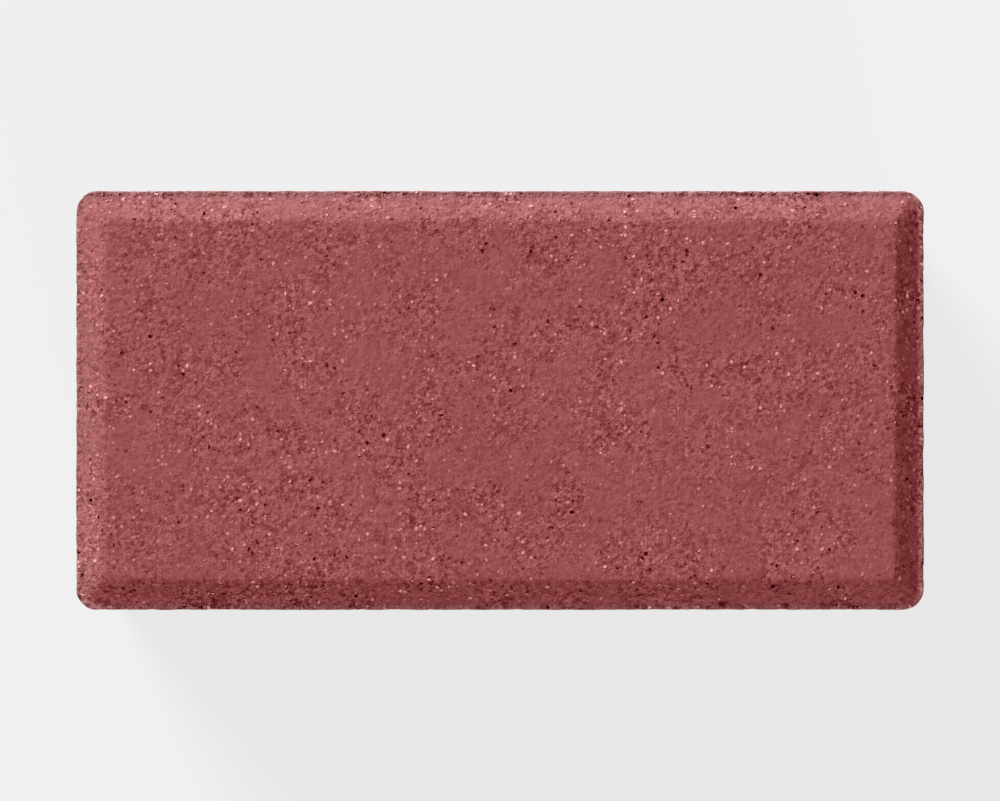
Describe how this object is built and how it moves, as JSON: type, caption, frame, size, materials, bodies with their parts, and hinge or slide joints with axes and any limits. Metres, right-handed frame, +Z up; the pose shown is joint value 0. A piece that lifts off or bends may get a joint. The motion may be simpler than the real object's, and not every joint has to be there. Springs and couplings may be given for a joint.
{
  "type": "concrete paving stone",
  "caption": "Rectangular concrete paving stone, twice as long as wide, with a chamfered wearing face and spacer nibs down its sides.",
  "frame": {"origin": "centre of the bed face, the flat underside that lies on the sand bed", "axes": "+Z up, from the bed face to the wearing face; +X along the stone; +Y across it"},
  "size_m": [0.2, 0.1, 0.06],
  "materials": {
    "red_concrete": "matte"
  },
  "bodies": {
    "root": {"paving_stone": "red_concrete"}
  },
  "joints": []
}
